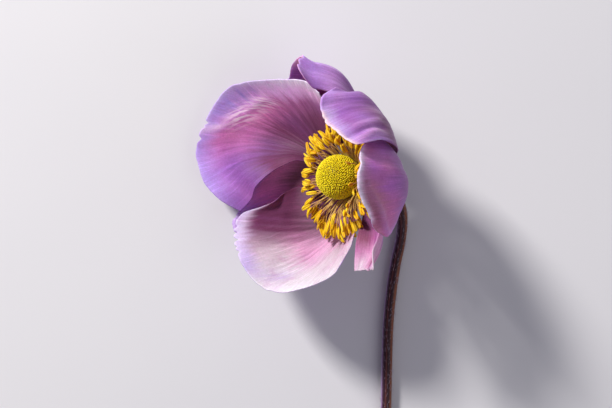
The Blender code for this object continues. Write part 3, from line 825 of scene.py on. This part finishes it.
def blade_paint(name, side, u, v, seed):
    """Linear RGB of one face of a blade at every place of its grid."""
    colour = zone_paint(name, side, u, v, seed)
    # ridge and furrow paint, among it painted highlights and painted shade
    for path, width, _, word, share in RIDGES.get((name, side), ()):
        near = np.exp(-(distance_to_path(u, v, path) / (RIDGE_PAINT_WIDTH * width)) ** 2)
        near = near * (0.75 + 0.5 * smooth_noise(seed + 8, 40)(v + 0.4 * u))
        colour = laid_over(colour, word, np.clip(share * near, 0, 1))
    # margins edged with painted edge light and painted shade
    for margin, first, last, width, word, share in EDGES.get((name, side), ()):
        off, run = ((1 - v * margin) * FLAT_HALF, u) if margin else ((1 - u) * FLAT_LENGTH, v)
        within = np.clip((run - first) / EDGE_FADE, 0, 1) * np.clip((last - run) / EDGE_FADE, 0, 1)
        colour = laid_over(colour, word, share * within * np.exp(-(off / width) ** 2))
    return colour


def blade_faces(rows, columns):
    """Faces of a closed blade whose points are its inner grid and then its back."""
    count = rows * columns
    inner, back = [], []
    for i in range(rows - 1):
        for j in range(columns - 1):
            a = i * columns + j
            b = a + columns
            inner.append((a, b, b + 1, a + 1))
            back.append((count + a, count + a + 1, count + b + 1, count + b))
    loop = list(range(columns))
    loop += [i * columns + columns - 1 for i in range(1, rows)]
    loop += [(rows - 1) * columns + j for j in range(columns - 2, -1, -1)]
    loop += [i * columns for i in range(rows - 2, 0, -1)]
    strip = [(a, b, count + b, count + a) for a, b in zip(loop, loop[1:] + loop[:1])]
    return inner, back, strip


def lay_paint(mesh, name, u, v, seed):
    """Gives the mesh of a blade its UV map, its colours and the mask of its painted highlight."""
    count = u.size
    uv = mesh.uv_layers.new(name="blade")
    corner = np.zeros(len(mesh.loops), np.int32)
    mesh.loops.foreach_get("vertex_index", corner)
    across_along = np.stack([(v.ravel() + 1) / 2, u.ravel()], axis=1)
    uv.data.foreach_set("uv", across_along[corner % count].astype(np.float32).ravel())

    paint = np.ones((2, count, 4), np.float32)
    for side in (0, 1):
        paint[side, :, :3] = blade_paint(name, side, u, v, seed).reshape(-1, 3)
    tint = mesh.color_attributes.new("tint", "FLOAT_COLOR", "POINT")
    tint.data.foreach_set("color", paint.ravel())

    # mask of the painted highlight, on the inner face of one tepal only
    painted_highlight = np.zeros(2 * count, np.float32)
    if name == HIGHLIGHT_TEPAL:
        painted_highlight[:count] = np.exp(-(distance_to_path(u, v, HIGHLIGHT_PATH) / HIGHLIGHT_WIDTH) ** 2).ravel()
    mesh.attributes.new("painted_highlight", "FLOAT", "POINT").data.foreach_set("value", painted_highlight)


def blade_mesh(name, plan, seed):
    """A closed thin blade: inner face, back and the strip round its rim."""
    grid = cut_notches(tepal_surface(plan), plan["notches"], seed)
    rows, columns = grid.shape[:2]
    u, v = np.meshgrid(np.linspace(0, 1, rows), np.linspace(-1, 1, columns), indexing="ij")
    grid = grid + relief(name, plan, u, v, seed)[..., None] * surface_normals(grid)
    edge = np.maximum(u ** 6, np.abs(v) ** 10)
    half = (CLAW_THICK * (1 - 0.4 * u) * (1 - edge) + RIM_THICK * edge)[..., None] / 2
    lift = half * surface_normals(grid)
    points = np.concatenate([(grid + lift).reshape(-1, 3), (grid - lift).reshape(-1, 3)])
    inner, back, strip = blade_faces(rows, columns)
    mesh = bpy.data.meshes.new("petal_" + name)
    mesh.from_pydata([tuple(p) for p in points], [], inner + back + strip)
    mesh.transform(BLOOM)
    mesh.shade_smooth()
    mesh.polygons.foreach_set("material_index", [0] * len(inner) + [1] * len(back) + [0] * len(strip))
    lay_paint(mesh, name, u, v, seed)
    return mesh


def make_tepals():
    for number, (name, plan) in enumerate(TEPALS.items()):
        mesh = blade_mesh(name, plan, 10 * number + 3)
        inside = petal_material(name + " inside", number, *VEIN_INSIDE)
        outside = petal_material(name + " outside", number + 20, *VEIN_BACK)
        piece("petal_" + name, mesh, (inside, outside), (name,))


# --- boss

def sphere_spots(count):
    """Evenly spread directions over a sphere, in golden-angle rows."""
    golden = math.pi * (3 - math.sqrt(5))
    for k in range(count):
        z = 1 - 2 * (k + 0.5) / count
        ring = math.sqrt(1 - z * z)
        yield np.array((ring * math.cos(k * golden), ring * math.sin(k * golden), z))


def core_ball():
    """Points, faces and colours of the ball under the carpels."""
    points, faces = [], []
    for i in range(CORE_STEPS + 1):
        for j in range(2 * CORE_STEPS):
            a, b = math.pi * i / CORE_STEPS, math.pi * j / CORE_STEPS
            out = (math.sin(a) * math.cos(b), math.sin(a) * math.sin(b), math.cos(a))
            points.append(CORE_RADIUS * np.array(out) + (0, 0, BOSS_HEIGHT))
    for i in range(CORE_STEPS):
        faces += ring_faces(i, 2 * CORE_STEPS, turned=True)
    return points, faces, [linear(CORE_COLOUR)] * len(points)


def carpel(direction, size):
    """Points, faces and colours of one carpel that stands out in a direction."""
    foot, tip = rgb(CARPEL_FOOT), rgb(CARPEL_TIP)
    centre = np.array((0, 0, BOSS_HEIGHT))
    side = unit(np.cross(direction, CARPEL_WAY))
    other = np.cross(direction, side)
    points, faces, colours = [], [], []
    for height, radius in CARPEL_RINGS:
        for s in range(CARPEL_SIDES):
            angle = 2 * math.pi * s / CARPEL_SIDES
            across = radius * (math.cos(angle) * side + math.sin(angle) * other)
            points.append(direction * (CORE_RADIUS + height * size) + across + centre)
            share = height / CARPEL_PAINT_TOP
            colours.append(foot * (1 - share) + tip * share)
    points.append(direction * (CORE_RADIUS + CARPEL_POINT * size) + centre)
    colours.append(tip * POINT_LIGHT)
    last = (len(CARPEL_RINGS) - 1) * CARPEL_SIDES
    for ring in range(len(CARPEL_RINGS) - 1):
        faces += ring_faces(ring, CARPEL_SIDES)
    for s in range(CARPEL_SIDES):
        faces.append((last + s, last + (s + 1) % CARPEL_SIDES, last + CARPEL_SIDES))
    return points, faces, colours


def make_boss():
    """A globe packed with small pointed carpels."""
    chance = random.Random(5)
    work = Patchwork()
    work.add(*core_ball())
    for direction in sphere_spots(CARPELS):
        if direction[2] < BARE_BELOW:
            continue
        direction = unit(direction + [chance.gauss(0, CARPEL_SCATTER) for _ in range(3)])
        work.add(*carpel(direction, chance.uniform(*CARPEL_SIZES)))
    look = grained_material("carpels")
    piece("carpel_globe", work.mesh("carpel_globe", BLOOM), (look,), ("boss",))


# --- stamens

def stamen_line(number, chance):
    """Centre line of a filament and the line of its anther, in mm."""
    turn = 360 * (number + chance.uniform(-0.45, 0.45)) / STAMENS
    tip_reach, tip_rise, knee_reach, knee_rise = STAMEN_ROWS[chance.choice((0, 0, 1, 1, 2))]
    reach = tip_reach - LOPSIDED * math.sin(math.radians(turn)) + chance.uniform(-1.0, 0.6)
    rise = tip_rise + chance.uniform(-0.9, 0.9)
    drift = chance.uniform(-8, 8)
    bow = chance.uniform(0.2, 1.3)
    root = polar(turn, *STAMEN_ROOT)
    knee = polar(turn + 0.2 * drift, knee_reach, knee_rise + 0.3 * bow)
    near = polar(turn + 0.7 * drift, 2.1 + 0.65 * reach, 1.2 + 0.7 * rise + 0.4 * bow)
    tip = polar(turn + drift, reach, rise)
    filament = even_curve([root, knee, near, tip], FILAMENT_STEPS)
    lead = unit(filament[-1] - filament[-3])
    droop = polar(turn + drift, 0.9, chance.uniform(-1.6, 0.2))
    droop = droop + polar(turn + drift + 90, chance.uniform(-1.3, 1.3), 0)
    length = chance.uniform(*ANTHER_LENGTHS)
    bend = chance.choice((0.2, 0.5, 0.8, 1.2)) * chance.uniform(0.7, 1.1)
    along = np.linspace(0, 1, ANTHER_STEPS + 1)[:, None]
    anther = filament[-1] + length * (along - 0.08 - 0.18 * bend * along ** 2) * lead
    return filament, anther + bend * along ** 2 * droop


def filament_tube(line, chance):
    """Points, faces and colours of a filament, paler at its root."""
    points, faces = tube(line, np.linspace(*FILAMENT_RADII, len(line)), FILAMENT_SIDES)
    shade = chance.uniform(0.75, 1.15)
    root, tip = rgb(FILAMENT_ROOT), rgb(FILAMENT_TIP)
    share = np.repeat(np.linspace(0, 1, len(line)), FILAMENT_SIDES)[:, None]
    return points, faces, shade * (root * (1 - share) + tip * share)


def anther_pod(line, chance):
    """Points, faces and colours of a two-lobed anther with rusty furrow and ends."""
    width = chance.uniform(*ANTHER_WIDTHS)
    swell = np.sin(np.pi * np.linspace(0.05, 0.95, len(line))) ** 0.4
    facing = polar(math.degrees(math.atan2(line[0][1], line[0][0])), -0.3, 1.0)
    facing = facing + [chance.gauss(0, 0.45) for _ in range(3)]
    points, faces = tube(line, width * swell, len(LOBES), facing)
    points = np.array(points).reshape(len(line), len(LOBES), 3)
    centre = points.mean(axis=1, keepdims=True)
    points = centre + (points - centre) * LOBES[None, :, None]
    gold, rust = rgb(chance.choice(GOLDS)), rgb(RUST)
    cover = np.clip((LOBES - 0.3) / 0.5, 0, 1)[None, :, None]
    ends = np.sin(np.pi * np.linspace(0.2, 0.8, len(line)))[:, None, None] ** 0.5
    paint = rust + (gold - rust) * cover * ends
    return points.reshape(-1, 3), faces, paint.reshape(-1, 3)


def saucer():
    """Points, faces and colours of the ring that carries the stamens."""
    points, faces = [], []
    for reach, rise in SAUCER:
        points += [polar(360 * s / SAUCER_SIDES, max(reach, 0.01), rise) for s in range(SAUCER_SIDES)]
    for k in range(len(SAUCER) - 1):
        faces += ring_faces(k, SAUCER_SIDES, turned=True)
    return points, faces, [linear(SAUCER_COLOUR)] * len(points)


def make_stamens():
    chance = random.Random(11)
    threads, pods = Patchwork(), Patchwork()
    for number in range(STAMENS):
        filament, anther = stamen_line(number, chance)
        threads.add(*filament_tube(filament, chance))
        pods.add(*anther_pod(anther, chance))
    threads.add(*saucer())
    thread_look = grained_material("filaments")
    pod_look = grained_material("anthers")
    piece("filaments", threads.mesh("filaments", BLOOM), (thread_look,), ("stamens",))
    piece("anthers", pods.mesh("anthers", BLOOM), (pod_look,))


# --- stem

def stem_line():
    """Centre line in mm before the shift, and the radius along it."""
    heart = Vector(HEART_BEFORE_SHIFT)
    top = [tuple(TIP_OVER @ Vector((0, 0, height)) + heart) for height in (STEM_TOP, NECK)]
    line = even_curve(top + list(STEM_ROUTE), STEM_STEPS)
    run = np.linalg.norm(line - line[0], axis=1)
    swelling = (RECEPTACLE_RADIUS / STEM_RADIUS - 1) * np.exp(-(run / SWELLING) ** 4)
    return line, STEM_RADIUS * (1 + swelling)


def stem_skin(line, radii):
    """Points, faces and colours of the stem, shallowly grooved along it, with painted edge light along
    its sides.
    """
    points, faces = tube(line, radii, STEM_SIDES)
    middle = line[:, None]
    points = np.array(points).reshape(len(line), STEM_SIDES, 3)
    angle = 2 * np.pi * np.arange(STEM_SIDES) / STEM_SIDES
    groove = 1 - GROOVE_DEPTH * (1 + np.cos(STEM_GROOVES * angle)) / 2
    along = np.linspace(0, 1, len(line))
    uneven = 1 + 0.012 * smooth_noise(61, 40)(along)
    points = middle + (points - middle) * groove[None, :, None] * uneven[:, None, None]
    outward = (points - middle)[..., 0] / radii[:, None]
    wander = 0.12 * smooth_noise(63, 14)(along)[:, None]
    # painted edge light: the band colours follow which side of the stem faces low or high X
    bands = np.array([rgb(colour) for _, colour in STEM_PAINTED_LIGHT_BANDS])
    places = [place for place, _ in STEM_PAINTED_LIGHT_BANDS]
    read_at = outward + wander * (1 - outward ** 2)
    paint = np.stack([np.interp(read_at, places, bands[:, k]) for k in range(3)], axis=-1)
    return points.reshape(-1, 3), faces, paint.reshape(-1, 3)


def hair_line(line, radii, chance):
    """Root, middle and tip of one hair that leans along the stem."""
    k = min(int(chance.uniform(0.02, 0.995) * STEM_STEPS), STEM_STEPS - 1)
    lead = unit(line[k + 1] - line[k])
    side = unit(np.cross(lead, ODD_WAY))
    turn = chance.uniform(0, 2 * math.pi)
    out = math.cos(turn) * side + math.sin(turn) * np.cross(lead, side)
    root = line[k] + out * radii[k] * HAIR_SKIN
    length = chance.uniform(*HAIR_LENGTHS)
    tip = root + length * (0.45 * out - 0.85 * lead * chance.choice((1, 1, -0.3)))
    return root, (root + tip) / 2 + 0.12 * out * length, tip


def make_stem():
    line, radii = stem_line()
    place = Matrix.Translation(SHIFT) @ Matrix.Scale(MM, 4)
    skin = Patchwork()
    skin.add(*stem_skin(line, radii))
    look = grained_material("stem skin")
    piece("stem_skin", skin.mesh("stem_skin", place), (look,), ("stem",))

    chance = random.Random(17)
    hairs = Patchwork()
    pale = rgb(HAIR_COLOUR)
    for _ in range(HAIRS):
        root, middle, tip = hair_line(line, radii, chance)
        if min(root[2], tip[2]) * MM + SHIFT.z >= LOWEST_HAIR:
            points, faces = tube((root, middle, tip), HAIR_RADII, 3)
            hairs.add(points, faces, [pale * chance.uniform(0.6, 1.1)] * len(points))
    look = grained_material("silky hair")
    piece("stem_hairs", hairs.mesh("stem_hairs", place), (look,))


# --- stage

def area_light(name, offset, size, watts, colour):
    """An area light that looks at the heart from an offset in m."""
    data = bpy.data.lights.new(name, "AREA")
    data.size = size
    data.energy = watts
    data.color = colour
    light = bpy.data.objects.new(name, data)
    light.location = HEART + Vector(offset)
    light.rotation_euler = (-Vector(offset)).to_track_quat("-Z", "Y").to_euler()
    bpy.context.scene.collection.objects.link(light)


def make_floor():
    bpy.ops.mesh.primitive_plane_add(size=FLOOR_SIZE, location=(0, 0, -FLOOR_GAP))
    floor = bpy.context.object
    floor.name = "table"
    floor.data.materials.append(floor_material())


def make_light():
    world = bpy.data.worlds.new("studio")
    bpy.context.scene.world = world
    world.use_nodes = True
    background = world.node_tree.nodes["Background"]
    background.inputs["Color"].default_value = WORLD_COLOUR
    background.inputs["Strength"].default_value = WORLD_STRENGTH
    for light in LIGHTS:
        area_light(*light)
    bpy.context.scene.view_settings.view_transform = "Standard"


def make_camera():
    """Looks straight down on the flower."""
    data = bpy.data.cameras.new("camera")
    data.lens = LENS
    data.sensor_width = 36
    data.clip_start = 0.01
    camera = bpy.data.objects.new("camera", data)
    camera.location = SHIFT + Vector((0, 0, CAMERA_RISE))
    bpy.context.scene.collection.objects.link(camera)
    bpy.context.scene.camera = camera


make_tepals()
make_boss()
make_stamens()
make_stem()
make_floor()
make_light()
make_camera()
